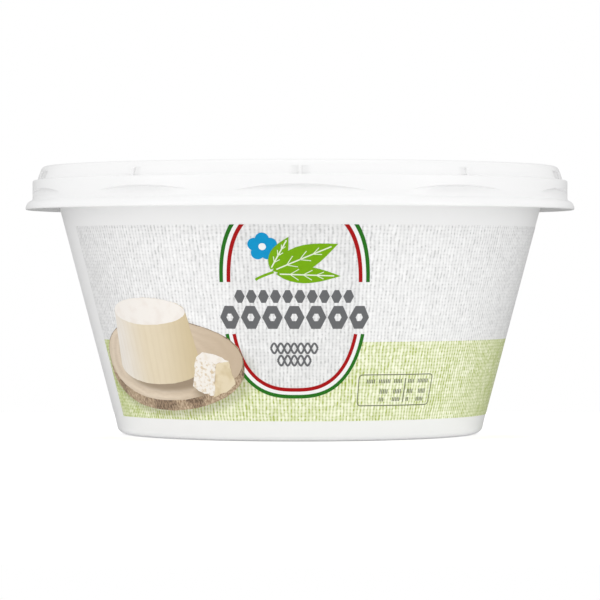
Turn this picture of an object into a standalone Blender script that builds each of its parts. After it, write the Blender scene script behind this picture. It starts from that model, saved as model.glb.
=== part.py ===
"""A round plastic tub of ricotta, shut with a push-on lid and wrapped in a label.

Metres, +Z up. The origin is the centre of the foot, on the surface that the tub stands on.
Azimuths are in degrees from the front, which is -Y, towards +X.
"""

import math

import bmesh
import bpy
from mathutils import Matrix, Vector

MM = 0.001

# Overall sizes
LID_DIAMETER = 118.0 * MM
HEIGHT = 57.5 * MM
CLEARANCE = 0.3 * MM

# Tub wall, a cone that opens upwards
WALL_RADIUS_AT_BASE = 38.9 * MM
WALL_SLOPE = 0.2644  # radius gained for each unit of height
FOOT_CORNER = 1.5 * MM
FOOT_WIDTH = 3.0 * MM
BASE_RECESS = 0.8 * MM
GATE_RADIUS = 1.5 * MM
GATE_HEIGHT = 0.35 * MM

# Tub rim: a flange that the skirt grips, and an upright bead that fills the lid's ring
RIM_RADIUS = 55.9 * MM
RIM_UNDERSIDE = 50.6 * MM
RIM_TOP = 53.5 * MM
RIM_CORNER = 0.7 * MM
BEAD_HEIGHT = 2.5 * MM
BEAD_INNER_RADIUS = 52.3 * MM
BEAD_OUTER_RADIUS = 53.9 * MM
BEAD_TAPER = 0.35 * MM

# Lid, from the panel outwards and down to the lip
PANEL_TOP = 54.75 * MM
PANEL_RAISED_BY = 0.3 * MM
PANEL_RAISED_RADIUS = 43.5 * MM
RING_INNER_RADIUS = 50.9 * MM
RING_CREST_INNER = 52.8 * MM
RING_CREST_OUTER = 54.6 * MM
RING_CORNER = 1.15 * MM
RING_FOOT_RADIUS = 56.43 * MM
LEDGE_HEIGHT = 54.6 * MM
SKIRT_RADIUS = 57.5 * MM
SKIRT_INNER_RADIUS = 56.3 * MM
SKIRT_FOOT = 50.6 * MM
LIP_DROP = 2.6 * MM
LIP_FLARE = 1.7 * MM
LIP_THICKNESS = 0.75 * MM

# Dents, arched hollows pressed into the skirt below each rib
DENT_HALF_ANGLE = 13.5
DENT_RISE = 1.5 * MM
DENT_DEPTH = 0.45 * MM
DENT_BROW = 0.08 * MM
SAME_PLACE = 0.01 * MM

# Pockets that flank each rib of the ring
RIB_AZIMUTHS = (0.0, 36.4, 76.6, 118.0, 159.3, -36.4, -76.6, -118.0, -159.3)
RIB_WIDTH = 0.75 * MM
POCKET_DEPTH = 1.15 * MM
POCKET_REACH = 2.6 * MM
POCKET_TOP = 56.0 * MM
POCKET_FLOOR = 54.5 * MM

# Label, let into the wall so that its face is flush
LABEL_BOTTOM = 4.4 * MM
LABEL_TOP = 44.2 * MM
LABEL_START = -68.5
LABEL_END = 258.0
LABEL_THICKNESS = 0.35 * MM
LABEL_END_GAP = 0.4  # degrees left free in the wall at each end of the label

TUB_STEPS = 72
LID_STEPS = 96
ARC_STEPS = 4


def wall_radius(height):
    """Outer radius of the tub's wall at a height."""
    return WALL_RADIUS_AT_BASE + WALL_SLOPE * height


def arc(centre, radii, start, end):
    """Points on an elliptical arc in the profile plane, from one angle to another in degrees."""
    points = []
    for i in range(ARC_STEPS + 1):
        angle = math.radians(start + (end - start) * i / ARC_STEPS)
        points.append((centre[0] + radii[0] * math.cos(angle), centre[1] + radii[1] * math.sin(angle)))
    return points


def rim_profile():
    """The bead, the flange round it and the flange's underside, from the inside outwards."""
    bead_top = RIM_TOP + BEAD_HEIGHT
    corner = (RIM_RADIUS - RIM_CORNER, RIM_TOP - RIM_CORNER)
    return [
        (BEAD_INNER_RADIUS, RIM_TOP),
        (BEAD_INNER_RADIUS + 2 * BEAD_TAPER, bead_top),
        (BEAD_OUTER_RADIUS - BEAD_TAPER, bead_top),
        (BEAD_OUTER_RADIUS, RIM_TOP),
        *arc(corner, (RIM_CORNER, RIM_CORNER), 90.0, 0.0),
        (RIM_RADIUS, RIM_UNDERSIDE + CLEARANCE),
        (wall_radius(RIM_UNDERSIDE) + RIM_CORNER, RIM_UNDERSIDE),
        (wall_radius(RIM_UNDERSIDE - RIM_CORNER), RIM_UNDERSIDE - RIM_CORNER),
    ]


def tub_profile():
    """The tub with its contents, from the middle of its top down the outside to its base."""
    slant = math.atan(WALL_SLOPE)
    foot_centre = (wall_radius(FOOT_CORNER) - FOOT_CORNER / math.cos(slant), FOOT_CORNER)
    foot = arc(foot_centre, (FOOT_CORNER, FOOT_CORNER), -math.degrees(slant), -90.0)
    foot_inner = foot_centre[0] - FOOT_WIDTH
    return [
        (0.0, RIM_TOP),
        *rim_profile(),
        *foot,
        (foot_inner, 0.0),
        (foot_inner - BASE_RECESS, BASE_RECESS),
        (GATE_RADIUS, BASE_RECESS),
        (GATE_RADIUS / 2, BASE_RECESS - GATE_HEIGHT),
        (0.0, BASE_RECESS - GATE_HEIGHT),
    ]


def dent_rows():
    """Heights on the skirt of a dent's brow, its deepest line and the line where it runs out."""
    return (SKIRT_FOOT + 2 * DENT_BROW, SKIRT_FOOT + DENT_BROW, SKIRT_FOOT)


def lid_outside():
    """The lid's outer face, from the middle of its panel to the end of its lip."""
    raised = PANEL_TOP + PANEL_RAISED_BY
    lip_centre = (LID_DIAMETER / 2 - LIP_FLARE, SKIRT_FOOT - LIP_DROP)
    crest = (RING_CREST_OUTER, HEIGHT - RING_CORNER)
    return [
        (0.0, raised - GATE_HEIGHT / 2),
        (GATE_RADIUS, raised - GATE_HEIGHT / 2),
        (GATE_RADIUS + GATE_HEIGHT, raised),
        (PANEL_RAISED_RADIUS, raised),
        (PANEL_RAISED_RADIUS + PANEL_RAISED_BY, PANEL_TOP),
        (RING_INNER_RADIUS, PANEL_TOP),
        (RING_CREST_INNER - RING_CORNER, HEIGHT - RING_CORNER / 2),
        (RING_CREST_INNER, HEIGHT),
        *arc(crest, (RING_CORNER, RING_CORNER), 90.0, 15.0),
        (RING_FOOT_RADIUS, LEDGE_HEIGHT),
        (SKIRT_RADIUS - CLEARANCE / 2, LEDGE_HEIGHT),
        (SKIRT_RADIUS, LEDGE_HEIGHT - CLEARANCE / 2),
        *((SKIRT_RADIUS, height) for height in dent_rows()),
        *arc(lip_centre, (LIP_FLARE, LIP_DROP), 75.0, 0.0),
    ]


def lid_inside():
    """The lid's inner face, from its lip up over the tub's flange and bead to the middle."""
    lip_centre = (LID_DIAMETER / 2 - LIP_FLARE, SKIRT_FOOT - LIP_DROP)
    underside = RIM_TOP + CLEARANCE
    channel_top = underside + BEAD_HEIGHT
    return [
        *arc(lip_centre, (LIP_FLARE - LIP_THICKNESS, LIP_DROP - LIP_THICKNESS), 0.0, 75.0),
        (SKIRT_INNER_RADIUS, SKIRT_FOOT + CLEARANCE),
        (SKIRT_INNER_RADIUS, underside - CLEARANCE),
        (SKIRT_INNER_RADIUS - CLEARANCE, underside),
        (BEAD_OUTER_RADIUS + CLEARANCE, underside),
        (BEAD_OUTER_RADIUS + CLEARANCE - BEAD_TAPER, channel_top),
        (BEAD_INNER_RADIUS - CLEARANCE + 2 * BEAD_TAPER, channel_top),
        (BEAD_INNER_RADIUS - CLEARANCE, underside),
        (0.0, underside),
    ]


def sleeve_profile(depth_outside, depth_inside, low, high):
    """A closed section that follows the wall between two depths, measured square to the wall."""
    across = math.hypot(1.0, WALL_SLOPE)
    return [
        (wall_radius(high) - depth_outside * across, high),
        (wall_radius(low) - depth_outside * across, low),
        (wall_radius(low) - depth_inside * across, low),
        (wall_radius(high) - depth_inside * across, high),
    ]


def new_collection(name):
    made = bpy.data.collections.new(name)
    bpy.context.scene.collection.children.link(made)
    return made


def plastic(name, colour, roughness):
    made = bpy.data.materials.new(name)
    made.use_nodes = True
    shader = made.node_tree.nodes["Principled BSDF"]
    shader.inputs["Base Color"].default_value = (*colour, 1.0)
    shader.inputs["Roughness"].default_value = roughness
    shader.inputs["Metallic"].default_value = 0.0
    return made


def new_object(name, mesh, collection):
    made = bpy.data.objects.new(name, mesh)
    collection.objects.link(made)
    return made


def turned(name, profile, steps, collection, closed=False):
    """A profile of (radius, height) points turned once about Z."""
    edges = [(i, i + 1) for i in range(len(profile) - 1)]
    if closed:
        edges.append((len(profile) - 1, 0))
    mesh = bpy.data.meshes.new(name)
    mesh.from_pydata([(radius, 0.0, height) for radius, height in profile], edges, [])
    made = new_object(name, mesh, collection)
    screw = made.modifiers.new("turn", "SCREW")
    screw.axis = "Z"
    screw.angle = math.tau
    screw.steps = steps
    screw.render_steps = steps
    screw.use_smooth_shade = True
    screw.use_merge_vertices = True
    screw.merge_threshold = 0.01 * MM
    return made


def apply_modifiers(obj):
    graph = bpy.context.evaluated_depsgraph_get()
    mesh = bpy.data.meshes.new_from_object(obj.evaluated_get(graph))
    obj.modifiers.clear()
    obj.data = mesh


def hide(cutter):
    cutter.hide_render = True
    cutter.display_type = "WIRE"
    return cutter


def cut(obj, cutter):
    boolean = obj.modifiers.new("cut", "BOOLEAN")
    boolean.operation = "DIFFERENCE"
    boolean.solver = "EXACT"
    boolean.object = cutter


def even_shading(obj):
    """Lets each large face set the normals along its edges, so that flats look flat."""
    obj.modifiers.new("shading", "WEIGHTED_NORMAL")


def add_prism(shape, outline, height):
    """Adds to a bmesh an upright prism that stands on an outline of points."""
    base = shape.faces.new([shape.verts.new(point) for point in outline])
    lifted = bmesh.ops.extrude_face_region(shape, geom=[base])["geom"]
    top = [item for item in lifted if isinstance(item, bmesh.types.BMVert)]
    bmesh.ops.translate(shape, verts=top, vec=(0.0, 0.0, height))


def cutter_from(name, shape, collection):
    bmesh.ops.recalc_face_normals(shape, faces=shape.faces)
    mesh = bpy.data.meshes.new(name)
    shape.to_mesh(mesh)
    shape.free()
    return hide(new_object(name, mesh, collection))


def sector(name, start, end, collection):
    """A block over the azimuths from start to end, wider and taller than the tub."""
    outline = [Vector((0.0, 0.0, -HEIGHT))]
    for azimuth in (start, (start + end) / 2, end):
        turn = Matrix.Rotation(math.radians(azimuth), 4, "Z")
        outline.append(turn @ Vector((0.0, -LID_DIAMETER, -HEIGHT)))
    shape = bmesh.new()
    add_prism(shape, outline, 3 * HEIGHT)
    return cutter_from(name, shape, collection)


def rib_pockets(collection):
    """Wedge-shaped pockets on both sides of each rib, deepest beside the rib."""
    shape = bmesh.new()
    outer = SKIRT_RADIUS - 2 * CLEARANCE
    wall = RING_FOOT_RADIUS - CLEARANCE
    for rib in RIB_AZIMUTHS:
        turn = Matrix.Rotation(math.radians(rib), 4, "Z")
        for side in (-1.0, 1.0):
            plan = [
                (side * RIB_WIDTH / 2, wall - POCKET_DEPTH),
                (side * RIB_WIDTH / 2, outer),
                (side * POCKET_REACH, outer),
                (side * POCKET_REACH, wall + CLEARANCE),
            ]
            outline = [turn @ Vector((across, -radius, POCKET_FLOOR)) for across, radius in plan]
            add_prism(shape, outline, POCKET_TOP - POCKET_FLOOR)
    return cutter_from("rib_pockets", shape, collection)


def dent_share(azimuth):
    """Height of the arch of a dent at an azimuth: 1 below a rib, 0 outside every dent."""
    nearest = min(abs((azimuth - rib + 180.0) % 360.0 - 180.0) for rib in RIB_AZIMUTHS)
    return max(0.0, 1.0 - (nearest / DENT_HALF_ANGLE) ** 2)


def press_dents(lid):
    """Raises the two upper rows of the skirt into arches and presses the lower one in."""
    brow, deep, _ = dent_rows()
    for vertex in lid.data.vertices:
        radius = math.hypot(vertex.co.x, vertex.co.y)
        height = vertex.co.z
        if abs(radius - SKIRT_RADIUS) > SAME_PLACE:
            continue
        if min(abs(height - brow), abs(height - deep)) > SAME_PLACE:
            continue
        share = dent_share(math.degrees(math.atan2(vertex.co.x, -vertex.co.y)))
        vertex.co.z += DENT_RISE * share
        if abs(height - deep) < SAME_PLACE:
            pressed = 1.0 - DENT_DEPTH * math.sqrt(share) / radius
            vertex.co.x *= pressed
            vertex.co.y *= pressed


def make_tub(parts, cutters):
    tub = turned("tub", tub_profile(), TUB_STEPS, parts)
    depth = LABEL_THICKNESS + CLEARANCE
    section = sleeve_profile(-depth, depth, LABEL_BOTTOM - CLEARANCE, LABEL_TOP + CLEARANCE)
    seat = hide(turned("label_seat", section, TUB_STEPS, cutters, closed=True))
    start = LABEL_START - LABEL_END_GAP
    end = LABEL_END + LABEL_END_GAP
    cut(seat, sector("seat_end", end - 360.0, start, cutters))
    cut(tub, seat)
    return tub


def make_label(parts, cutters):
    section = sleeve_profile(0.0, LABEL_THICKNESS, LABEL_BOTTOM, LABEL_TOP)
    label = turned("label", section, TUB_STEPS, parts, closed=True)
    cut(label, sector("label_end", LABEL_END - 360.0, LABEL_START, cutters))
    return label


def make_lid(parts, cutters):
    lid = turned("lid", lid_outside() + lid_inside(), LID_STEPS, parts)
    apply_modifiers(lid)
    press_dents(lid)
    cut(lid, rib_pockets(cutters))
    return lid


def main():
    for obj in list(bpy.data.objects):
        bpy.data.objects.remove(obj)
    parts = new_collection("ricotta_tub")
    cutters = new_collection("cutters")
    finishes = (
        (make_tub(parts, cutters), plastic("tub_plastic", (0.88, 0.88, 0.87), 0.35)),
        (make_label(parts, cutters), plastic("label_print", (0.86, 0.89, 0.76), 0.40)),
        (make_lid(parts, cutters), plastic("lid_plastic", (0.93, 0.93, 0.92), 0.30)),
    )
    for piece, finish in finishes:
        piece.data.materials.append(finish)
        even_shading(piece)


main()
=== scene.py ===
"""Looks of a round plastic tub of ricotta: a white tub, a printed label and a push-on lid.

Lengths are in millimetres until a mesh is written, and azimuths in degrees from the front (-Y)
towards +X. The print is drawn flat, in millimetres along the wall at the label's middle height (u)
and above the foot (v), and then laid on the wall in thin layers.
"""

import math
import random

import bmesh
import bpy
from mathutils import Euler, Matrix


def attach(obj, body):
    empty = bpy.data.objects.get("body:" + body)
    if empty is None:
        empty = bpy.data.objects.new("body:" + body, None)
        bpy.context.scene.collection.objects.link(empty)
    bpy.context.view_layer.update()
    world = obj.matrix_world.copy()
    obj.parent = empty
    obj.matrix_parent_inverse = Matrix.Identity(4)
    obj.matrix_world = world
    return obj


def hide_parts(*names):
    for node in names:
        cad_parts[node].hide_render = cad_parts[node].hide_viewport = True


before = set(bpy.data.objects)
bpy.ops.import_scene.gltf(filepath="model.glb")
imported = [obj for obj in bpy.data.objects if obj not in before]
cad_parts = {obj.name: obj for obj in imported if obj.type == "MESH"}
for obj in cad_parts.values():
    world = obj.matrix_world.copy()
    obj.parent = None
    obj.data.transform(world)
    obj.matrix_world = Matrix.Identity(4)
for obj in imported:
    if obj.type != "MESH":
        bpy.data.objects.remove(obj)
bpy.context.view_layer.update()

MM = 0.001
SHARP_ANGLE = 32.0

# Tub
WALL_RADIUS_AT_BASE = 38.9
WALL_SLOPE = 0.2644
TUB_TOP = 53.5
FLANGE_RADIUS = 55.9
NECK_HEIGHT = 50.6
FOOT_FILLET = (2.2, 1.5)
FOOT_RING_WIDTH = 3.0
RECESS_HEIGHT = 0.8
TUB_COLUMNS = 240

# Label
LABEL_BOTTOM = 4.23
LABEL_TOP = 44.3
LABEL_START = -68.5
LABEL_END = 258.0
LABEL_LIFT = 0.04
LABEL_DEPTH = 0.1
LAYER = 0.02  # how far each printed layer stands above the one below it
BAND_TOP = 20.46

# Emblem frame, a full oval of two lines: half width, reach above and reach below its centre
OVAL_CENTRE = (-1.1, 28.4)
OVAL_OUTER = (14.45, 21.1, 19.1)
OVAL_INNER = (12.98, 19.8, 17.7)
OVAL_FULLNESS = 2.65
OVAL_LINE = 0.74
OVAL_WHITE_LINE = 1.5
TITLE_GAP = (22.1, 32.65)

# Linen weave of the print, from the colour of its gaps to that of its threads. The weights are of
# the tone of warp and weft, of the closeness to their edges, of the dashes where two threads of
# each part, of the corners between four threads, and of a random tone at each crossing
WARP_PITCH = 0.80
WEFT_PITCH = 0.69
WHITE_COLOURS = ((200, 200, 200), (252, 252, 252))
WHITE_WEIGHTS = (0.42, 0.1, -0.32, -0.02, -0.58, -0.16, -0.22, 0.2)
WHITE_MIDDLE = 0.4
GREEN_COLOURS = ((164, 182, 56), (254, 255, 232))
GREEN_WEIGHTS = (0.64, 0.2, -0.48, -0.1, -0.54, -0.12, -0.24, 0.3)
GREEN_MIDDLE = 0.385

# The white weave is lighter outside the oval, and both weaves take painted shade at the sides of the
# front.
# The painted shade grows and ends between these distances from a middle
WHITE_OUTSIDE_OVAL = 0.15
WHITE_SIDE_SHADE = -0.24
GREEN_SIDE_SHADE = -0.28
SIDES_MIDDLE = 4.0
SIDES_START = (30.0, 66.0)
SIDES_END = (78.0, 104.0)

# Surface of the print. Its inks reflect less than the plastic
INK_ROUGHNESS = 0.4
INK_GLOSS = 0.12

# Still life. A shadow is its centre and its radii
BOARD_CENTRE = (-32.5, 16.6)
BOARD_RADII = (20.4, 8.5)
BOARD_SHADOW = ((-31.5, 14.0), (22.6, 9.6))
BARK_HEIGHT = 2.0
RICOTTA_CENTRE = (-34.6, 15.4)
RICOTTA_BASE = (12.6, 3.9)
RICOTTA_TOP = (10.3, 2.8)
RICOTTA_HEIGHT = 11.2
RICOTTA_SHADOW = ((-32.0, 14.2), (14.4, 4.6))
PIECE_CENTRE = (-19.4, 13.4)
PIECE_SHADOW = ((-19.0, 10.1), (6.8, 2.2))

# Sprig. A leaf is its base, angle, length and width, and a vein starts and ends at shares of the
# leaf's length and spreads from its line by an angle
SPRIG_LEAVES = (
    ((-5.2, 34.9), 24.0, 13.4, 5.2),
    ((-4.6, 34.3), -2.0, 12.4, 3.4),
    ((-5.6, 35.2), 62.0, 7.4, 3.2),
)
LEAF_VEINS = ((0.06, 0.9, 0.0), (0.22, 0.42, 34.0), (0.42, 0.62, 30.0), (0.62, 0.78, 26.0))
MIDRIB_LINE = 0.26
VEIN_LINE = 0.16
FLOWER_CENTRE = (-7.0, 39.8)

# Flourish under the title. A row is its height, half its length and its number of turns
FLOURISH_ROWS = ((19.2, 4.9, 3.5), (16.7, 3.5, 2.5))
FLOURISH_MIDDLE = -1.2
FLOURISH_LINE = 0.42

# Small table. A row is the height of its middle, how tall its ticks are, and where they run
TABLE_ROWS = (
    (12.35, 0.8, ((14.9, 17.0), (17.8, 20.9), (21.5, 23.7), (25.1, 26.9), (27.7, 30.8))),
    (10.25, 0.9, ((18.2, 20.1), (21.6, 23.6), (25.1, 26.9), (28.2, 30.3))),
    (8.6, 0.8, ((18.2, 19.3), (21.5, 23.4), (25.1, 26.0), (27.9, 30.1))),
)
TICK_PITCH = 0.42
TICK_WIDTH = 0.22

# Moulded plastic, with its orange peel and its clouds of shade and gloss
PEEL_SCALE = 900.0
PEEL_STRENGTH = 0.05
PEEL_DEPTH = 0.05
CLOUD_SCALE = 60.0
CLOUD_SHADE = 0.985
GLOSS_SPREAD = 0.08
# Colour of the painted shade on the floors of the lid's pockets
POCKET_SHADE_COLOUR = (218, 218, 218)

# Section of the lid, from its middle outwards
GATE_RADIUS = 1.8
GATE_TOP = 54.88
PANEL_RADIUS = 43.4
PANEL_TOP = 55.05
LEDGE_RADIUS = 50.3
LEDGE_TOP = 54.75
CROWN_TOP = 57.28
SKIRT_RADIUS = 57.5
LIP_TOP = 50.4
LIP_CENTRE = (57.3, 48.22)
LIP_RADII = (1.7, 1.78)
LID_INSIDE_RADIUS = 56.3
LID_INSIDE_TOP = 53.8

# Ring of the lid. The ribs at its sides and back stand between wider, deeper pockets. A pocket is
# its depth, its reach from the rib, how steep its end is, and how much painted shade its floor takes
RING_SHOULDER = (55.86, 56.08)
RING_FOOT = (56.43, 54.29)
RIB_AZIMUTHS = (0.0, 37.0, 77.5, 118.0, 159.3, -37.0, -77.5, -118.0, -159.3)
RIB_HALF_WIDTH = 0.33
FRONT_RIBS_END = 60.0
FINE_HALF_ANGLE = 6.5  # the mesh has closer columns within this angle of a rib
FRONT_POCKET = (0.13, 2.0, 1.9, 0.25)
SIDE_POCKET = (0.25, 5.6, 3.6, 0.65)
# share of a pocket's depth and painted shade on the side of a rib that is farther from the front
FAR_SIDE_SHARE = 0.2
POCKET_BROW = 0.2  # share of the ring's height over which a pocket deepens
POCKET_TOP = 55.95
GROOVE_DEPTH = 0.08
GROOVE_REACH = 3.3
GROOVE_HEIGHT = 0.2

# Arched dents of the skirt, the one in front wider than the others
DENT_AZIMUTHS = (0.0, 34.4, 71.5, 112.0, 156.0, -34.4, -71.5, -112.0, -156.0)
FRONT_DENT_HALF_ANGLE = 13.5
DENT_HALF_ANGLE = 11.2
DENT_FOOT = 51.05
DENT_RISE = 1.3
DENT_DEPTH = 0.92
DENT_FULLNESS = 0.42

# Studio, in metres and watts. The ambient light fades from front to back, and reaches farther back
# the higher it comes from
AMBIENT_FRONT = 0.85
AMBIENT_BACK = 0.05
AMBIENT_LEAN = 0.5
AMBIENT_FADE = (0.35, 1.35)
LIGHT_AIM = (0.0, 0.0, 0.03)
SIDE_PLACE = (1.0, -0.66, 0.40)
SIDE_SIZE = (0.6, 0.8)
SIDE_WATTS = 1.8
TOP_PLACE = (0.0, -0.2, 1.3)
TOP_SIZE = (1.2, 1.2)
TOP_WATTS = 2.0

# Light table, in metres. Its turn from pale to dark is between two shares of the way from the
# front (-1) to the back (1)
STAGE_RADIUS = 0.22
STAGE_MIDDLE = -0.11
STAGE_TURN = (-0.5, 0.15)
STAGE_PALE = (0.95, 0.95, 0.95, 1.0)
STAGE_DARK = (0.3, 0.3, 0.3, 1.0)
STAGE_GLOW = 0.1
STAGE_SEEN = 0.15
STAGE_LIFT = 0.7

# Camera, from the photograph's perspective
EYE_DISTANCE = 731.3
EYE_HEIGHT = 35.1
LENS = 203.39
PITCH = -0.507


def wall_radius(height):
    return WALL_RADIUS_AT_BASE + WALL_SLOPE * height


MID_RADIUS = wall_radius((LABEL_BOTTOM + LABEL_TOP) / 2)


class Shader:
    """A Principled material whose inputs are built up from values, colours and textures."""

    def __init__(self, name, roughness=0.35):
        self.material = bpy.data.materials.new(name)
        self.material.use_nodes = True
        self.tree = self.material.node_tree
        self.surface = self.tree.nodes["Principled BSDF"]
        self.put(self.surface.inputs["Roughness"], roughness)

    def put(self, socket, value):
        if isinstance(value, bpy.types.NodeSocket):
            self.tree.links.new(value, socket)
        else:
            socket.default_value = value

    def node(self, kind, inputs=(), **settings):
        made = self.tree.nodes.new(kind)
        for key, value in settings.items():
            setattr(made, key, value)
        for key, value in dict(inputs).items():
            self.put(made.inputs[key], value)
        return made

    def math(self, operation, *values, clamp=False):
        made = self.node("ShaderNodeMath", operation=operation, use_clamp=clamp)
        for socket, value in zip(made.inputs, values):
            self.put(socket, value)
        return made.outputs[0]

    def mix(self, share, low, high):
        made = self.node("ShaderNodeMix", data_type="RGBA")
        self.put(made.inputs[0], share)
        self.put(made.inputs[6], low)
        self.put(made.inputs[7], high)
        return made.outputs[2]

    def step(self, value, start, end):
        """0 below start, 1 above end, and smooth between them."""
        made = self.node("ShaderNodeMapRange", interpolation_type="SMOOTHSTEP")
        for key, number in (("Value", value), ("From Min", start), ("From Max", end)):
            self.put(made.inputs[key], number)
        return made.outputs[0]

    def fall(self, value, start, end):
        """1 below start, 0 above end, and smooth between them."""
        return self.math("SUBTRACT", 1.0, self.step(value, start, end))

    def vector(self, x, y, z=0.0):
        return self.node("ShaderNodeCombineXYZ", {"X": x, "Y": y, "Z": z}).outputs[0]

    def noise(self, vector, scale=1.0, detail=2.0):
        inputs = {"Vector": vector, "Scale": scale, "Detail": detail}
        return self.node("ShaderNodeTexNoise", inputs).outputs[0]

    def print_place(self):
        """u and v of the print, in millimetres."""
        place = self.node("ShaderNodeUVMap", uv_map="print").outputs[0]
        split = self.node("ShaderNodeSeparateXYZ", {0: place})
        return split.outputs[0], split.outputs[1]

    def bump(self, height, strength, distance):
        inputs = {"Height": height, "Strength": strength, "Distance": distance * MM}
        self.put(self.surface.inputs["Normal"], self.node("ShaderNodeBump", inputs).outputs[0])

    def finish(self, colour):
        self.put(self.surface.inputs["Base Color"], colour)
        return self.material


def srgb(red, green, blue):
    """A linear colour from 8-bit values."""
    def linear(value):
        share = value / 255.0
        return share / 12.92 if share <= 0.04045 else ((share + 0.055) / 1.055) ** 2.4

    return (linear(red), linear(green), linear(blue), 1.0)


def moulded_plastic(name, colour, roughness):
    """White moulded polypropylene with faint orange peel and uneven gloss, and painted shade on the
    floors of the lid's pockets.
    """
    shader = Shader(name)
    place = shader.node("ShaderNodeTexCoord").outputs["Object"]
    peel = shader.noise(place, PEEL_SCALE, 3.0)
    clouds = shader.noise(place, CLOUD_SCALE, 2.0)
    shader.bump(peel, PEEL_STRENGTH, PEEL_DEPTH)
    uneven = shader.math("MULTIPLY_ADD", clouds, GLOSS_SPREAD, roughness - GLOSS_SPREAD / 2)
    shader.put(shader.surface.inputs["Roughness"], uneven)
    darker = tuple(CLOUD_SHADE * part for part in colour[:3]) + (1.0,)
    shade = shader.mix(clouds, darker, colour)
    # painted shade on the floors of the lid's pockets, from the mesh attribute set in mark_pockets
    pocket_shade = shader.node("ShaderNodeAttribute", attribute_name="pocket_shade").outputs["Fac"]
    return shader.finish(shader.mix(pocket_shade, shade, srgb(*POCKET_SHADE_COLOUR)))


def linen_threads(shader, u, v):
    """The parts of the weave, in the order of the weights: first of the warp, then of the weft."""
    sway = shader.noise(shader.vector(u, v), 0.3)
    warp = shader.math("MULTIPLY_ADD", sway, 1.0, shader.math("DIVIDE", u, WARP_PITCH))
    weft = shader.math("MULTIPLY_ADD", sway, 0.9, shader.math("DIVIDE", v, WEFT_PITCH))
    tones = []
    edges = []
    dashes = []
    for place, other, stretch in ((warp, weft, 0.17), (weft, warp, 0.2)):
        thread = shader.math("MULTIPLY", shader.math("FLOOR", place), 17.3)
        along = shader.math("MULTIPLY", other, stretch)
        tones.append(shader.noise(shader.vector(thread, along), 1.0, 1.0))
        middle = shader.math("SUBTRACT", shader.math("FRACT", place), 0.5)
        edge = shader.math("MULTIPLY", shader.math("ABSOLUTE", middle), 2.0)
        edges.append(edge)
        seam = shader.math("MULTIPLY", shader.math("ROUND", place), 11.9)
        parting = shader.noise(shader.vector(shader.math("MULTIPLY", other, 0.8), seam), 1.0, 1.0)
        parted = shader.step(parting, 0.5, 0.68)
        dashes.append(shader.math("MULTIPLY", shader.step(edge, 0.35, 1.0), parted))
    corner = shader.math("MULTIPLY", shader.step(edges[0], 0.3, 1.0), shader.step(edges[1], 0.3, 1.0))
    crossing = shader.vector(shader.math("FLOOR", warp), shader.math("FLOOR", weft))
    knot = shader.node("ShaderNodeTexWhiteNoise", {"Vector": crossing}).outputs[0]
    return *tones, *edges, *dashes, corner, knot


def linen_colour(shader, threads, weights, middle, colours):
    """Colour of the weave, from its gaps to the threads that lie on top."""
    share = middle
    for part, weight in zip(threads, weights):
        share = shader.math("MULTIPLY_ADD", part, weight, share)
    share = shader.math("MULTIPLY", share, 1.0, clamp=True)
    return shader.mix(share, srgb(*colours[0]), srgb(*colours[1]))


def oval_distance(shader, u, v, centre, radii, fullness=2.0):
    """1 on an oval, less inside it and more outside. It may reach less far down than up."""
    across = shader.math("DIVIDE", shader.math("SUBTRACT", u, centre[0]), radii[0])
    above = shader.math("DIVIDE", shader.math("SUBTRACT", v, centre[1]), radii[1])
    below = shader.math("DIVIDE", shader.math("SUBTRACT", centre[1], v), radii[-1])
    powers = []
    for part in (shader.math("ABSOLUTE", across), shader.math("MAXIMUM", above, below)):
        powers.append(shader.math("POWER", part, fullness))
    return shader.math("POWER", shader.math("ADD", *powers), 1 / fullness)


def shadow_share(shader, u, v, shadow, fade):
    """1 in the middle of an oval shadow, 0 beyond it."""
    return shader.fall(oval_distance(shader, u, v, *shadow), *fade)


def painted_side_shade(shader, u):
    """Share of the painted shade at both sides of the front: 1 there, 0 in its middle and behind."""
    away = shader.math("ABSOLUTE", shader.math("SUBTRACT", u, SIDES_MIDDLE))
    return shader.math("MULTIPLY", shader.step(away, *SIDES_START), shader.fall(away, *SIDES_END))


def label_material():
    """White linen above, green linen in the band below, and plain white linen in the oval, with painted
    shade at the sides of the front.
    """
    shader = Shader("label_print", INK_ROUGHNESS)
    u, v = shader.print_place()
    threads = linen_threads(shader, u, v)
    inside_line = oval_distance(shader, u, v, OVAL_CENTRE, OVAL_INNER, OVAL_FULLNESS)
    outside = shader.step(inside_line, 0.99, 1.01)
    # painted shade at both sides of the front, for both weaves
    side_shade = painted_side_shade(shader, u)
    middle = shader.math("MULTIPLY_ADD", side_shade, WHITE_SIDE_SHADE, WHITE_MIDDLE)
    middle = shader.math("MULTIPLY_ADD", outside, WHITE_OUTSIDE_OVAL, middle)
    white = linen_colour(shader, threads, WHITE_WEIGHTS, middle, WHITE_COLOURS)
    middle = shader.math("MULTIPLY_ADD", side_shade, GREEN_SIDE_SHADE, GREEN_MIDDLE)
    green = linen_colour(shader, threads, GREEN_WEIGHTS, middle, GREEN_COLOURS)
    band = shader.fall(v, BAND_TOP - 0.1, BAND_TOP + 0.1)
    colour = shader.mix(shader.math("MULTIPLY", outside, band), white, green)
    shadow = shadow_share(shader, u, v, BOARD_SHADOW, (0.86, 1.06))
    return shader.finish(shader.mix(shader.math("MULTIPLY", shadow, 0.45), colour, srgb(120, 118, 80)))


def ink(name, colour, unevenness=0.06):
    """A flat printed colour, slightly mottled."""
    shader = Shader(name, INK_ROUGHNESS)
    shader.put(shader.surface.inputs["Specular IOR Level"], INK_GLOSS)
    u, v = shader.print_place()
    mottle = shader.noise(shader.vector(u, v), 1.7)
    darker = tuple((1.0 - 2 * unevenness) * part for part in colour[:3]) + (1.0,)
    return shader.finish(shader.mix(mottle, darker, colour))


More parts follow.
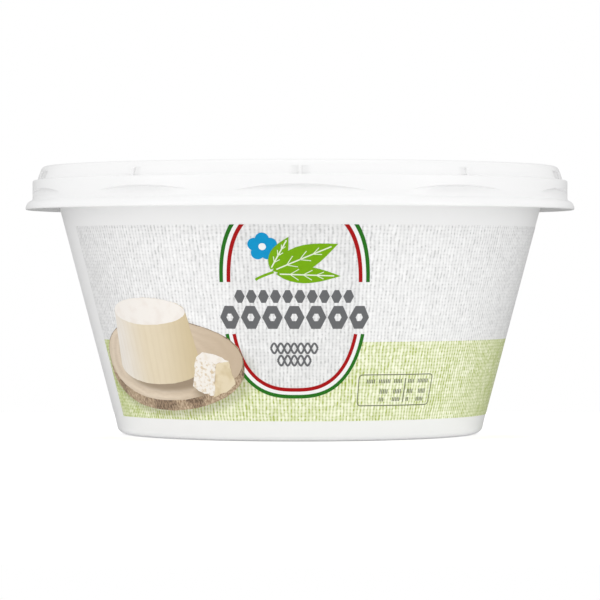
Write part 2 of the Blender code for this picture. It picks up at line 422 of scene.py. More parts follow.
def board_material():
    """Pale sawn wood with faint rings, darker to the right, and the soft shadows of the cheese."""
    shader = Shader("printed_wood", INK_ROUGHNESS)
    u, v = shader.print_place()
    rings = oval_distance(shader, u, v, BOARD_CENTRE, (1.0, BOARD_RADII[1] / BOARD_RADII[0]))
    wobble = shader.noise(shader.vector(u, v), 0.2)
    turn = shader.math("MULTIPLY_ADD", wobble, 9.0, shader.math("MULTIPLY", rings, 2.2))
    ring = shader.math("MULTIPLY_ADD", shader.math("SINE", turn), 0.5, 0.5)
    grain = shader.noise(shader.vector(u, shader.math("MULTIPLY", v, 5.0)), 0.8, 4.0)
    share = shader.math("MULTIPLY_ADD", ring, 0.35, shader.math("MULTIPLY", grain, 0.75))
    wood = shader.mix(share, srgb(206, 187, 163), srgb(233, 217, 196))
    right = shader.step(u, BOARD_CENTRE[0] - 4.0, BOARD_CENTRE[0] + 20.0)
    wood = shader.mix(shader.math("MULTIPLY", right, 0.75), wood, srgb(190, 168, 141))
    under_ricotta = shadow_share(shader, u, v, RICOTTA_SHADOW, (0.7, 1.08))
    under_piece = shadow_share(shader, u, v, PIECE_SHADOW, (0.5, 1.1))
    shadow = shader.math("MAXIMUM", under_ricotta, under_piece)
    return shader.finish(shader.mix(shader.math("MULTIPLY", shadow, 0.85), wood, srgb(142, 122, 97)))


def bark_material():
    """Rough bark, pale where it has worn off."""
    shader = Shader("printed_bark", 0.45)
    u, v = shader.print_place()
    rough = shader.noise(shader.vector(shader.math("MULTIPLY", u, 2.2), v), 1.4, 4.0)
    worn = shader.step(shader.noise(shader.vector(u, v), 0.16, 1.0), 0.40, 0.58)
    dark = shader.mix(worn, srgb(94, 74, 56), srgb(146, 120, 92))
    pale = shader.mix(worn, srgb(166, 140, 112), srgb(206, 184, 156))
    return shader.finish(shader.mix(shader.step(rough, 0.36, 0.66), dark, pale))


def ricotta_wall_material():
    """Cream-coloured skin, lit from the left and faintly marked by the slats of its basket."""
    shader = Shader("printed_ricotta_side", INK_ROUGHNESS)
    u, v = shader.print_place()
    across = shader.math("DIVIDE", shader.math("SUBTRACT", u, RICOTTA_CENTRE[0]), RICOTTA_BASE[0])
    lit = shader.step(across, -0.95, -0.05)
    shaded = shader.step(across, 0.0, 1.1)
    colour = shader.mix(lit, srgb(241, 236, 230), srgb(232, 218, 191))
    colour = shader.mix(shaded, colour, srgb(209, 190, 150))
    angle = shader.math("ARCSINE", shader.math("MULTIPLY", across, 0.98))
    slats = shader.step(shader.math("SINE", shader.math("MULTIPLY", angle, 44.0)), 0.0, 1.0)
    stretched = shader.vector(shader.math("MULTIPLY", u, 1.4), shader.math("MULTIPLY", v, 0.5))
    smear = shader.noise(stretched, 0.5)
    marks = shader.math("MULTIPLY_ADD", slats, 0.07, shader.math("MULTIPLY", smear, 0.22))
    return shader.finish(shader.mix(marks, colour, srgb(196, 176, 136)))


def curd_material(name, low, high, scale):
    """A broken, crumbly face."""
    shader = Shader(name, 0.45)
    u, v = shader.print_place()
    crumbs = shader.noise(shader.vector(u, v), scale, 4.0)
    share = shader.step(crumbs, 0.30, 0.54)
    return shader.finish(shader.mix(share, low, high))


def new_piece(name, shape, material):
    """Writes a bmesh, in millimetres, to a mesh object that rides on the one body."""
    bmesh.ops.recalc_face_normals(shape, faces=shape.faces)
    bmesh.ops.scale(shape, vec=(MM, MM, MM), verts=shape.verts)
    mesh = bpy.data.meshes.new(name)
    shape.to_mesh(mesh)
    shape.free()
    mesh.materials.append(material)
    mesh.shade_smooth()
    mesh.set_sharp_from_angle(angle=math.radians(SHARP_ANGLE))
    piece = bpy.data.objects.new(name, mesh)
    bpy.context.scene.collection.objects.link(piece)
    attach(piece, "root")
    return piece


def at_azimuth(radius, azimuth, height):
    angle = math.radians(azimuth)
    return (radius * math.sin(angle), -radius * math.cos(angle), height)


def turned(azimuths, section):
    """A closed bmesh of revolution. section(azimuth) gives (radius, height) points from axis to axis."""
    shape = bmesh.new()
    columns = []
    first = section(azimuths[0])
    top = shape.verts.new((0.0, 0.0, first[0][1]))
    bottom = shape.verts.new((0.0, 0.0, first[-1][1]))
    for azimuth in azimuths:
        points = section(azimuth)[1:-1]
        columns.append([shape.verts.new(at_azimuth(r, azimuth, z)) for r, z in points])
    for here, there in zip(columns, columns[1:] + columns[:1]):
        shape.faces.new((top, here[0], there[0]))
        shape.faces.new((bottom, there[-1], here[-1]))
        for i in range(len(here) - 1):
            shape.faces.new((here[i], here[i + 1], there[i + 1], there[i]))
    return shape


def arc(centre, radii, start, end, steps=8):
    """Points on an elliptical arc in the section plane, between two angles in degrees."""
    points = []
    for i in range(steps + 1):
        angle = math.radians(start + (end - start) * i / steps)
        points.append((centre[0] + radii[0] * math.cos(angle), centre[1] + radii[1] * math.sin(angle)))
    return points


def from_nearest(azimuth, places):
    """Signed angle from the nearest of some azimuths."""
    turns = [(azimuth - place + 180.0) % 360.0 - 180.0 for place in places]
    return min(turns, key=abs)


def beyond_rib(azimuth):
    """Distance along the ring from the side of the nearest rib, negative on the rib."""
    return abs(math.radians(from_nearest(azimuth, RIB_AZIMUTHS))) * RING_FOOT[0] - RIB_HALF_WIDTH


def pocket_share(azimuth):
    """1 in the pockets that lie beside a rib, 0 on the rib and far from it."""
    away = beyond_rib(azimuth)
    reach, steepness = pocket_at(azimuth)[1:3]
    if away <= 0.0 or away >= reach:
        return 0.0
    share = min(1.0, (1.0 - away / reach) * steepness)
    rib = azimuth - from_nearest(azimuth, RIB_AZIMUTHS)
    far_side = abs(azimuth) > abs(rib) > 1.0
    return share * share * (3.0 - 2.0 * share) * (FAR_SIDE_SHARE if far_side else 1.0)


def pocket_at(azimuth):
    """The kind of pocket beside the nearest rib."""
    rib = (azimuth - from_nearest(azimuth, RIB_AZIMUTHS) + 180.0) % 360.0 - 180.0
    return FRONT_POCKET if abs(rib) < FRONT_RIBS_END else SIDE_POCKET


def ring_wall(azimuth):
    """The ring's outer wall: ribs that stand between pockets, over a groove along its foot."""
    away = beyond_rib(azimuth)
    pocket = pocket_share(azimuth) * pocket_at(azimuth)[0]
    groove = max(0.0, 1.0 - away / GROOVE_REACH) if away > 0.0 else 0.0
    foot_radius, foot_height = RING_FOOT
    rows = []
    steps = 9
    for i in range(steps + 1):
        down = i / steps
        radius = RING_SHOULDER[0] + (foot_radius - RING_SHOULDER[0]) * down
        height = RING_SHOULDER[1] + (foot_height + GROOVE_HEIGHT - RING_SHOULDER[1]) * down
        if away <= 0.0 and i > 1:
            radius = foot_radius
        rows.append((radius - pocket * min(1.0, down / POCKET_BROW), height))
    inner = rows[-1][0] - GROOVE_DEPTH * groove
    rows.append((inner + 0.06 * (1.0 - groove), foot_height + 0.12 + 0.06 * groove))
    rows.append((inner + 0.3 * (1.0 - groove), foot_height + 0.02 * (1.0 - groove)))
    return rows


def skirt_wall(azimuth):
    """The skirt with its arched, hollow dent, down to where the lip flares out."""
    away = abs(from_nearest(azimuth, DENT_AZIMUTHS))
    half_angle = FRONT_DENT_HALF_ANGLE if abs(azimuth) < FRONT_DENT_HALF_ANGLE else DENT_HALF_ANGLE
    brow = DENT_FOOT + DENT_RISE * (1.0 - min(1.0, away / FRONT_DENT_HALF_ANGLE) ** 2)
    depth = DENT_DEPTH * max(0.0, 1.0 - (away / half_angle) ** 2)
    shoulder = ((0.5, 0.0), (0.22, 0.06), (0.05, 0.2), (0.0, 0.42))
    rows = [(SKIRT_RADIUS - inward, RING_FOOT[1] - down) for inward, down in shoulder]
    rows.append((SKIRT_RADIUS, brow + 0.04))
    steps = 8
    for i in range(steps + 1):
        down = i / steps
        hollow = math.sin(math.pi * down ** DENT_FULLNESS)
        rows.append((SKIRT_RADIUS - depth * hollow, brow - (brow - LIP_TOP + 0.02) * down))
    return rows


def lid_section(azimuth):
    """The lid from the middle of its panel out to the lip, and back under it."""
    return [
        (0.0, GATE_TOP),
        (GATE_RADIUS - 0.5, GATE_TOP),
        (GATE_RADIUS - 0.3, GATE_TOP + 0.02),
        (GATE_RADIUS, PANEL_TOP),
        (GATE_RADIUS + 0.4, PANEL_TOP),
        (PANEL_RADIUS, PANEL_TOP),
        (PANEL_RADIUS + 0.15, PANEL_TOP - 0.03),
        (PANEL_RADIUS + 0.35, LEDGE_TOP + 0.03),
        (PANEL_RADIUS + 0.5, LEDGE_TOP),
        (LEDGE_RADIUS, LEDGE_TOP),
        *arc((LEDGE_RADIUS, LEDGE_TOP + 0.6), (0.6, 0.6), -80.0, -15.0, 4),
        (LEDGE_RADIUS + 1.05, 56.1),
        *arc((52.6, CROWN_TOP - 1.3), (1.1, 1.3), 165.0, 95.0, 6),
        (52.8, CROWN_TOP),
        *arc((54.6, CROWN_TOP - 1.15), (1.15, 1.15), 90.0, 15.0),
        *ring_wall(azimuth),
        *skirt_wall(azimuth),
        (SKIRT_RADIUS + 0.03, LIP_TOP - 0.13),
        (SKIRT_RADIUS + 0.1, LIP_TOP - 0.28),
        *arc(LIP_CENTRE, LIP_RADII, 75.0, 0.0, 10),
        *arc((58.65, LIP_CENTRE[1]), (0.35, 0.25), -10.0, -180.0, 6),
        (58.25, 48.45),
        (58.1, 49.2),
        (SKIRT_RADIUS, 49.9),
        (LID_INSIDE_RADIUS, 50.9),
        (LID_INSIDE_RADIUS, LID_INSIDE_TOP - 0.3),
        (LID_INSIDE_RADIUS - 0.3, LID_INSIDE_TOP),
        (0.0, LID_INSIDE_TOP),
    ]


def lid_azimuths():
    """One column a degree, and closer ones across each rib and its pockets."""
    beside = (-0.02, 0.02, 0.2, 0.5, 0.9, 1.3, 1.6, 2.0, 2.6, 3.2, 4.0, 4.4, 4.8, 5.2, 5.6)
    offsets = [math.degrees((RIB_HALF_WIDTH + away) / RING_FOOT[0]) for away in beside]
    fine = [rib + side * offset for rib in RIB_AZIMUTHS for side in (-1, 1) for offset in offsets]
    fine += list(RIB_AZIMUTHS)
    coarse = [float(a) for a in range(-180, 180) if abs(from_nearest(a, RIB_AZIMUTHS)) > FINE_HALF_ANGLE]
    return sorted((a + 180.0) % 360.0 - 180.0 for a in fine + coarse)


def mark_pockets(shape):
    """Marks the pockets' floors with painted shade."""
    pocket_shade = shape.verts.layers.float.new("pocket_shade")
    for vert in shape.verts:
        on_ring = vert.co.xy.length > RING_SHOULDER[0] - 1.0
        if on_ring and RING_FOOT[1] <= vert.co.z <= POCKET_TOP:
            azimuth = math.degrees(math.atan2(vert.co.x, -vert.co.y))
            vert[pocket_shade] = pocket_share(azimuth) * pocket_at(azimuth)[3]


def tub_section(_azimuth):
    """The tub from its closed top over the flange and down the wall to the recess under its foot."""
    fillet_centre = (wall_radius(FOOT_FILLET[1]) - FOOT_FILLET[0] + 0.02, FOOT_FILLET[1])
    foot = arc(fillet_centre, FOOT_FILLET, -10.0, -90.0)
    ring_inside = foot[-1][0] - FOOT_RING_WIDTH
    return [
        (0.0, TUB_TOP),
        (FLANGE_RADIUS - 0.7, TUB_TOP),
        (FLANGE_RADIUS, TUB_TOP - 0.7),
        (FLANGE_RADIUS, NECK_HEIGHT + 0.3),
        (wall_radius(NECK_HEIGHT) + 0.7, NECK_HEIGHT),
        *arc((wall_radius(49.9) + 0.9, 49.7), (0.9, 0.7), 90.0, 165.0, 5),
        *((wall_radius(height), height) for height in range(49, 2, -2)),
        *foot,
        (ring_inside, 0.0),
        (ring_inside - 0.2, 0.1),
        (ring_inside - 0.7, RECESS_HEIGHT - 0.05),
        (ring_inside - 0.95, RECESS_HEIGHT),
        (2.0, RECESS_HEIGHT),
        (1.5, RECESS_HEIGHT - 0.05),
        (1.0, 0.5),
        (0.0, 0.45),
    ]


def on_wall(u, v, lift):
    """Point on the wall for a place in the print."""
    return at_azimuth(wall_radius(v) + lift, math.degrees(u / MID_RADIUS), v)


def make_label(material):
    """A thin shell on the wall, its face just proud of the tub."""
    shape = bmesh.new()
    around, up = 200, 24
    start = math.radians(LABEL_START) * MID_RADIUS
    end = math.radians(LABEL_END) * MID_RADIUS
    faces = []
    for lift in (LABEL_LIFT, -LABEL_DEPTH):
        grid = []
        for i in range(around + 1):
            u = start + (end - start) * i / around
            heights = [LABEL_BOTTOM + (LABEL_TOP - LABEL_BOTTOM) * j / up for j in range(up + 1)]
            grid.append([shape.verts.new(on_wall(u, v, lift)) for v in heights])
        faces.append(grid)
    outer, inner = faces
    for grid in faces:
        for i in range(around):
            for j in range(up):
                shape.faces.new((grid[i][j], grid[i + 1][j], grid[i + 1][j + 1], grid[i][j + 1]))
    for j in range(up):
        for i in (0, around):
            shape.faces.new((outer[i][j], outer[i][j + 1], inner[i][j + 1], inner[i][j]))
    for i in range(around):
        for j in (0, up):
            shape.faces.new((outer[i][j], outer[i + 1][j], inner[i + 1][j], inner[i][j]))
    layer = shape.loops.layers.uv.new("print")
    for face in shape.faces:
        for loop in face.loops:
            loop[layer].uv = place_in_print(loop.vert.co, face.calc_center_median())
    return new_piece("label_film", shape, material)


def place_in_print(point, beside):
    """u and v of a point on the wall. A face on the seam takes the side that its middle is on."""
    azimuth = math.degrees(math.atan2(point.x, -point.y))
    middle = math.degrees(math.atan2(beside.x, -beside.y))
    gap_middle = (LABEL_START + LABEL_END - 360.0) / 2
    if middle < gap_middle:
        middle += 360.0
    azimuth = middle + (azimuth - middle + 180.0) % 360.0 - 180.0
    return (math.radians(azimuth) * MID_RADIUS, point.z)


def printed(name, outlines, layer, material):
    """Flat outlines laid on the label as one closed film, at a printed layer's height."""
    shape = bmesh.new()
    for outline in outlines:
        shape.faces.new([shape.verts.new((u, v, 0.0)) for u, v in outline])
    bmesh.ops.remove_doubles(shape, verts=shape.verts, dist=0.0005)
    bmesh.ops.triangulate(shape, faces=shape.faces)
    low = math.floor(min(vert.co.x for vert in shape.verts))
    high = math.ceil(max(vert.co.x for vert in shape.verts))
    for cut in range(low, high + 1):
        everything = shape.verts[:] + shape.edges[:] + shape.faces[:]
        bmesh.ops.bisect_plane(shape, geom=everything, plane_co=(cut, 0, 0), plane_no=(1, 0, 0))
    bmesh.ops.recalc_face_normals(shape, faces=shape.faces)
    lifted = bmesh.ops.extrude_face_region(shape, geom=shape.faces[:], use_keep_orig=True)["geom"]
    for vert in lifted:
        if isinstance(vert, bmesh.types.BMVert):
            vert.co.z = 1.0
    uv = shape.loops.layers.uv.new("print")
    for face in shape.faces:
        for loop in face.loops:
            loop[uv].uv = loop.vert.co.xy
    outer = LABEL_LIFT + LAYER * layer
    for vert in shape.verts:
        u, v, side = vert.co
        vert.co = on_wall(u, v, outer if side > 0.5 else 0.0)
    return new_piece(name, shape, material)


def stroke(points, width, closed=False):
    """Quads that follow a path, with the same width all along it."""
    count = len(points)
    edges = []
    for i, (u, v) in enumerate(points):
        before = points[i - 1] if i > 0 or closed else points[i]
        after = points[(i + 1) % count] if i < count - 1 or closed else points[i]
        du, dv = after[0] - before[0], after[1] - before[1]
        length = math.hypot(du, dv) or 1.0
        nu, nv = -dv / length * width / 2, du / length * width / 2
        edges.append(((u + nu, v + nv), (u - nu, v - nv)))
    pairs = list(zip(edges, edges[1:]))
    if closed:
        pairs.append((edges[-1], edges[0]))
    return [(a[0], a[1], b[1], b[0]) for a, b in pairs]


def oval(centre, radii, start=0.0, end=360.0, steps=72):
    """Points on an ellipse in the print, between two angles in degrees."""
    points = []
    for i in range(steps + 1):
        angle = math.radians(start + (end - start) * i / steps)
        points.append((centre[0] + radii[0] * math.cos(angle), centre[1] + radii[1] * math.sin(angle)))
    return points


def oval_half_width(radii, height):
    """Half the width of the emblem's oval at a height."""
    reach = radii[1] if height > OVAL_CENTRE[1] else radii[2]
    share = min(1.0, abs(height - OVAL_CENTRE[1]) / reach)
    return radii[0] * (1.0 - share ** OVAL_FULLNESS) ** (1 / OVAL_FULLNESS)


def oval_bowl(radii):
    """The lower part of the emblem's oval, below the title."""
    u, v = OVAL_CENTRE
    below = math.asin((v - TITLE_GAP[0]) / radii[2])
    bowl = []
    for i in range(121):
        angle = -below - (math.pi - 2 * below) * i / 120
        height = v + radii[2] * math.sin(angle)
        side = 1.0 if math.cos(angle) > 0 else -1.0
        bowl.append((u + side * oval_half_width(radii, height), height))
    return bowl


def oval_sides(radii, width):
    """The upper arcs of the emblem's oval, cut level above the title and at the label's top edge."""
    steps = 24
    low, high = TITLE_GAP[1], LABEL_TOP - 0.02
    quads = []
    for side in (-1, 1):
        edges = []
        for i in range(steps + 1):
            height = low + (high - low) * i / steps
            middle = OVAL_CENTRE[0] + side * oval_half_width(radii, height)
            lean = (oval_half_width(radii, height + 0.01) - oval_half_width(radii, height - 0.01)) / 0.02
            half = width / 2 * math.hypot(1.0, lean)
            edges.append(((middle - half, height), (middle + half, height)))
        quads += [(a[0], a[1], b[1], b[0]) for a, b in zip(edges, edges[1:])]
    return quads


def leaf(base, angle, length, width):
    """A pointed leaf that starts at its base."""
    turn = math.radians(angle)
    outline = []
    for side in (1.0, -1.0):
        for i in range(9):
            along = i / 9.0 if side > 0 else 1.0 - i / 9.0
            across = side * width / 2 * math.sin(math.pi * along ** 0.8)
            du, dv = along * length, across
            outline.append((
                base[0] + du * math.cos(turn) - dv * math.sin(turn),
                base[1] + du * math.sin(turn) + dv * math.cos(turn),
            ))
    return outline


def rounded_box(low, high, corner):
    """Path round a box with rounded corners."""
    path = []
    corners = (
        ((high[0] - corner, high[1] - corner), 0.0),
        ((low[0] + corner, high[1] - corner), 90.0),
        ((low[0] + corner, low[1] + corner), 180.0),
        ((high[0] - corner, low[1] + corner), 270.0),
    )
    for centre, start in corners:
        path += oval(centre, (corner, corner), start, start + 90.0, 5)
    return path


def make_emblem():
    """An oval frame of a green, a white and a red line."""
    middle = tuple((a + b) / 2 for a, b in zip(OVAL_OUTER, OVAL_INNER))
    lines = (
        ("frame_white", middle, OVAL_WHITE_LINE, 1, ink("ink_white", srgb(246, 246, 246), 0.02)),
        ("frame_green", OVAL_OUTER, OVAL_LINE, 2, ink("ink_green", srgb(38, 115, 27))),
        ("frame_red", OVAL_INNER, OVAL_LINE, 2, ink("ink_red", srgb(172, 10, 14))),
    )
    for name, radii, width, layer, material in lines:
        printed(name, oval_sides(radii, width) + stroke(oval_bowl(radii), width), layer, material)


def leaf_veins(base, angle, length):
    """A midrib and pairs of side veins."""
    turn = math.radians(angle)
    quads = []
    for start, end, spread in LEAF_VEINS:
        midrib = spread == 0.0
        reach = (end - start) * length * (1.0 if midrib else 0.8)
        here = (base[0] + start * length * math.cos(turn), base[1] + start * length * math.sin(turn))
        for side in (1.0,) if midrib else (1.0, -1.0):
            lean = math.radians(angle + side * spread)
            there = (here[0] + reach * math.cos(lean), here[1] + reach * math.sin(lean))
            quads += stroke([here, there], MIDRIB_LINE if midrib else VEIN_LINE)
    return quads


def make_sprig():
    """Three broad leaves with pale veins on a short stem, and a blue flower."""
    green = ink("ink_leaf", srgb(124, 178, 8), 0.08)
    pale = ink("ink_vein", srgb(232, 242, 216), 0.02)
    stem = [(-8.6 + 3.6 * i / 8, 33.1 + 1.6 * (i / 8) ** 0.8) for i in range(9)]
    printed("sprig_stem", stroke(stem, 0.5), 1, green)
    for i, (base, angle, length, width) in enumerate(SPRIG_LEAVES):
        printed(f"sprig_leaf_{i}", [leaf(base, angle, length, width)], 2 + i, green)
        printed(f"sprig_veins_{i}", leaf_veins(base, angle, length), 5 + i, pale)
    make_flower(FLOWER_CENTRE)


def make_flower(centre):
    """Five round blue petals about a white eye."""
    blue = ink("ink_blue", srgb(6, 153, 209))
    for i in range(5):
        angle = math.radians(90.0 + 72.0 * i)
        middle = (centre[0] + 1.55 * math.cos(angle), centre[1] + 1.55 * math.sin(angle))
        printed(f"flower_petal_{i}", [oval(middle, (1.3, 1.3), 0.0, 345.0, 23)], 1 + i % 3, blue)
    eye = [oval(centre, (0.7, 0.7), 0.0, 345.0, 23)]
    printed("flower_eye", eye, 5, ink("ink_eye", srgb(246, 246, 246), 0.02))


def hexagon(centre, width, height):
    """A hexagon with points to the left and right."""
    u, v = centre
    flat = width / 2 - height / 4
    return [
        (u - width / 2, v), (u - flat, v - height / 2), (u + flat, v - height / 2),
        (u + width / 2, v), (u + flat, v + height / 2), (u - flat, v + height / 2),
    ]


def row_of_places(first, pitch, count):
    return [(first[0] + pitch * i, first[1]) for i in range(count)]


def make_title():
    """A row of small grey hexagons over a row of large ones with pale middles, and a thin flourish."""
    grey = ink("ink_grey", srgb(108, 109, 111))
    small = [hexagon(centre, 2.15, 2.6) for centre in row_of_places((-12.0, 29.75), 2.4, 10)]
    printed("hexagons_small", small, 1, grey)
    frames = []
    for centre in row_of_places((-14.35, 25.5), 4.4, 7):
        outer = hexagon(centre, 4.15, 4.65)
        inner = hexagon(centre, 1.5, 1.5)
        for k in range(6):
            frames.append((outer[k], outer[(k + 1) % 6], inner[(k + 1) % 6], inner[k]))
    printed("hexagons_large", frames, 1, grey)
    make_flourish(grey)


def make_flourish(grey):
    """Two rows of two strands that twist about each other."""
    steps = 70
    for row, (height, half_length, turns) in enumerate(FLOURISH_ROWS):
        for layer, strand, side in ((1, "a", 1.0), (2, "b", -1.0)):
            path = []
            for i in range(steps + 1):
                along = i / steps
                swing = side * math.sin(math.tau * turns * along)
                path.append((FLOURISH_MIDDLE + half_length * (2 * along - 1), height + swing))
            printed(f"twist_{row}_{strand}", stroke(path, FLOURISH_LINE), layer, grey)


def make_table():
    """A small rounded frame with a divider and rows of fine ticks."""
    grey = ink("ink_table", srgb(114, 119, 98))
    frame_path = rounded_box((13.05, 7.35), (31.6, 13.7), 0.8)
    printed("table_frame", stroke(frame_path[:-1], 0.19, closed=True), 1, grey)
    printed("table_divider", stroke([(24.35, 8.0), (24.35, 12.9)], 0.24), 1, grey)
    ticks = []
    for height, tall, spans in TABLE_ROWS:
        low = height - tall / 2
        high = height + tall / 2
        for start, end in spans:
            for i in range(round((end - start) / TICK_PITCH)):
                left = start + i * TICK_PITCH
                right = left + TICK_WIDTH
                ticks.append([(left, low), (right, low), (right, high), (left, high)])
    printed("table_ticks", ticks, 1, grey)


def make_still_life():
    """A round board with a basket-moulded ricotta and a piece of it."""
    u, v = BOARD_CENTRE
    bark = oval((u, v - BARK_HEIGHT), BOARD_RADII, 180.0, 360.0, 48)
    bark += oval((u, v), BOARD_RADII, 0.0, 180.0, 48)
    printed("board_bark", [ragged(bark, 1.2, 0.07)], 4, bark_material())
    top = oval((u, v), (BOARD_RADII[0] - 0.25, BOARD_RADII[1] - 0.1), 0.0, 355.0, 71)
    printed("board_top", [ragged(top, 1.2, 0.07)], 5, board_material())
    u, v = RICOTTA_CENTRE
    side = oval((u, v), RICOTTA_BASE, 180.0, 360.0, 40)
    side += oval((u, v + RICOTTA_HEIGHT), RICOTTA_TOP, 0.0, 180.0, 40)
    printed("ricotta_side", [ragged(side, 1.0, 0.04)], 6, ricotta_wall_material())
    lid = oval((u, v + RICOTTA_HEIGHT), RICOTTA_TOP, 0.0, 355.0, 71)
    pale = curd_material("printed_ricotta_top", srgb(241, 234, 227), srgb(246, 241, 235), 0.4)
    printed("ricotta_top", [ragged(lid, 1.0, 0.05)], 7, pale)
    make_crumbly_piece()


def ragged(outline, spacing, size):
    """The same outline with its longer edges broken up and each point moved a little at random."""
    draw = random.Random(7)
    points = []
    for (u, v), (next_u, next_v) in zip(outline, outline[1:] + outline[:1]):
        count = max(1, round(math.hypot(next_u - u, next_v - v) / spacing))
        for i in range(count):
            along = i / count
            place = (u + (next_u - u) * along, v + (next_v - v) * along)
            points.append(tuple(part + draw.uniform(-size, size) for part in place))
    return points


def make_crumbly_piece():
    """A broken-off piece that lies in front, its crumbly face towards the left."""
    u, v = PIECE_CENTRE
    foot = (u - 0.4, v - 4.2)
    front_top = (u + 0.9, v + 2.5)
    left_top = (u - 3.7, v + 3.9)
    right_top = (u + 3.9, v + 3.2)
    broken = [(u - 5.4, v - 2.0), (u - 4.0, v - 3.1), foot, front_top, left_top]
    skin = [foot, (u + 3.4, v - 3.0), (u + 5.0, v - 1.6), right_top, front_top]
    top = [left_top, front_top, right_top, (u + 0.4, v + 4.7), (u - 2.0, v + 4.9)]
    faces = (
        ("piece_skin", skin, 8, "printed_skin", srgb(216, 198, 160), srgb(230, 215, 184), 0.4),
        ("piece_top", top, 8, "printed_piece_top", srgb(238, 229, 216), srgb(246, 240, 233), 0.6),
        ("piece_broken", broken, 9, "printed_curd", srgb(216, 196, 164), srgb(245, 240, 233), 1.3),
    )
    for name, outline, layer, finish, low, high, scale in faces:
        printed(name, [ragged(outline, 0.7, 0.16)], layer, curd_material(finish, low, high, scale))


def table_paper():
    """White paper that glows a little. It reflects less beside and behind the tub than in front,
    and is lifted there for the camera, so that it looks pale all round."""
    shader = Shader("table_paper", 0.9)
    shader.put(shader.surface.inputs["Specular IOR Level"], 0.0)
    place = shader.node("ShaderNodeTexCoord").outputs["Object"]
    split = shader.node("ShaderNodeSeparateXYZ", {0: place})
    reach = shader.node("ShaderNodeVectorMath", {0: place}, operation="LENGTH").outputs["Value"]
    ahead = shader.math("DIVIDE", split.outputs[1], shader.math("MAXIMUM", reach, 0.001))
    beside = shader.step(ahead, *STAGE_TURN)
    lift = shader.math("MULTIPLY_ADD", beside, STAGE_LIFT, STAGE_SEEN)
    seen = shader.node("ShaderNodeLightPath").outputs["Is Camera Ray"]
    glow = shader.math("MULTIPLY_ADD", seen, lift, STAGE_GLOW)
    shader.put(shader.surface.inputs["Emission Color"], (1.0, 1.0, 1.0, 1.0))
    shader.put(shader.surface.inputs["Emission Strength"], glow)
    return shader.finish(shader.mix(beside, STAGE_PALE, STAGE_DARK))


def make_stage():
    """A pale, round light table."""
    shape = bmesh.new()
    bmesh.ops.create_circle(shape, cap_ends=True, segments=128, radius=STAGE_RADIUS)
    bmesh.ops.translate(shape, verts=shape.verts, vec=(0.0, STAGE_MIDDLE, 0.0))
    mesh = bpy.data.meshes.new("table_top")
    shape.to_mesh(mesh)
    shape.free()
    mesh.materials.append(table_paper())
    table = bpy.data.objects.new("table_top", mesh)
    bpy.context.scene.collection.objects.link(table)


def area_light(name, place, aim, size, energy):
    lamp = bpy.data.lights.new(name, "AREA")
    lamp.shape = "RECTANGLE"
    lamp.size, lamp.size_y = size
    lamp.energy = energy
    made = bpy.data.objects.new(name, lamp)
    bpy.context.scene.collection.objects.link(made)
    made.location = place
    direction = [a - b for a, b in zip(aim, place)]
    flat = math.hypot(direction[0], direction[1])
    made.rotation_euler = (
        math.atan2(flat, -direction[2]),
        0.0,
        math.atan2(direction[1], direction[0]) - math.pi / 2,
    )
    return made


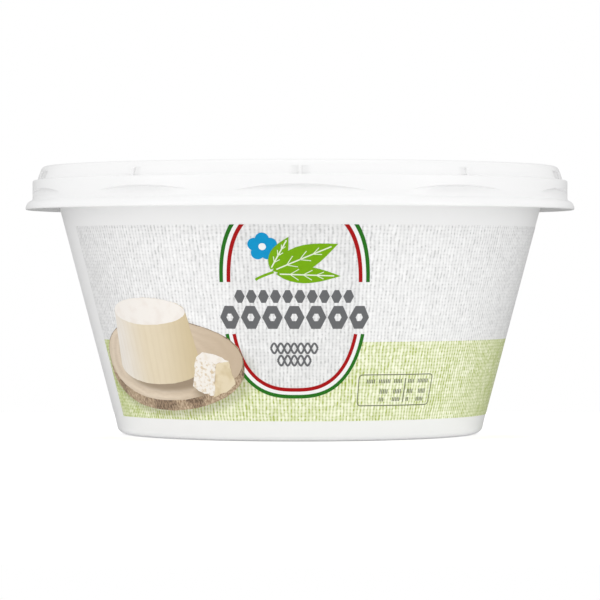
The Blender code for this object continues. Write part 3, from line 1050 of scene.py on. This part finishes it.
def make_world():
    """A studio that is bright in front of the tub and dim behind it, with a white backdrop."""
    world = bpy.data.worlds.new("studio")
    world.use_nodes = True
    tree = world.node_tree
    background = tree.nodes["Background"]
    place = tree.nodes.new("ShaderNodeTexCoord")
    split = tree.nodes.new("ShaderNodeSeparateXYZ")
    lean = tree.nodes.new("ShaderNodeMath")
    lean.operation = "MULTIPLY_ADD"
    lean.inputs[1].default_value = -AMBIENT_LEAN
    depth = tree.nodes.new("ShaderNodeMapRange")
    depth.interpolation_type = "SMOOTHSTEP"
    depth.inputs["From Min"].default_value = AMBIENT_FADE[0]
    depth.inputs["From Max"].default_value = AMBIENT_FADE[1]
    depth.inputs["To Min"].default_value = AMBIENT_FRONT
    depth.inputs["To Max"].default_value = AMBIENT_BACK
    path = tree.nodes.new("ShaderNodeLightPath")
    seen = tree.nodes.new("ShaderNodeMix")
    seen.inputs[3].default_value = 1.0
    tree.links.new(place.outputs["Generated"], split.inputs[0])
    tree.links.new(split.outputs["Z"], lean.inputs[0])
    tree.links.new(split.outputs["Y"], lean.inputs[2])
    tree.links.new(lean.outputs[0], depth.inputs["Value"])
    tree.links.new(path.outputs["Is Camera Ray"], seen.inputs[0])
    tree.links.new(depth.outputs[0], seen.inputs[2])
    tree.links.new(seen.outputs[0], background.inputs["Strength"])
    background.inputs["Color"].default_value = (1.0, 1.0, 1.0, 1.0)
    bpy.context.scene.world = world


def make_lights():
    """Two tall softboxes beside the camera and a weak one overhead."""
    across, front, height = SIDE_PLACE
    for name, side in (("softbox_left", -1.0), ("softbox_right", 1.0)):
        area_light(name, (side * across, front, height), LIGHT_AIM, SIDE_SIZE, SIDE_WATTS)
    area_light("softbox_top", TOP_PLACE, LIGHT_AIM, TOP_SIZE, TOP_WATTS)


def make_camera():
    camera = bpy.data.objects.new("camera", bpy.data.cameras.new("camera"))
    camera.data.lens = LENS
    camera.data.sensor_width = 36.0
    camera.location = (0.0, -EYE_DISTANCE * MM, EYE_HEIGHT * MM)
    camera.rotation_euler = Euler((math.radians(90.0 + PITCH), 0.0, 0.0))
    bpy.context.scene.collection.objects.link(camera)
    bpy.context.scene.camera = camera


def main():
    tub_white = moulded_plastic("tub_plastic", srgb(245, 245, 245), 0.34)
    lid_white = moulded_plastic("lid_plastic", srgb(246, 246, 246), 0.30)
    tub_shape = turned([360.0 * i / TUB_COLUMNS for i in range(TUB_COLUMNS)], tub_section)
    tub = new_piece("tub_shell", tub_shape, tub_white)
    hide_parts("tub")
    lid_shape = turned(lid_azimuths(), lid_section)
    mark_pockets(lid_shape)
    lid = new_piece("lid_shell", lid_shape, lid_white)
    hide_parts("lid")
    label = make_label(label_material())
    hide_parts("label")
    make_emblem()
    make_sprig()
    make_title()
    make_table()
    make_still_life()
    make_stage()
    make_world()
    make_lights()
    make_camera()
    bpy.context.scene.view_settings.view_transform = "Standard"


main()
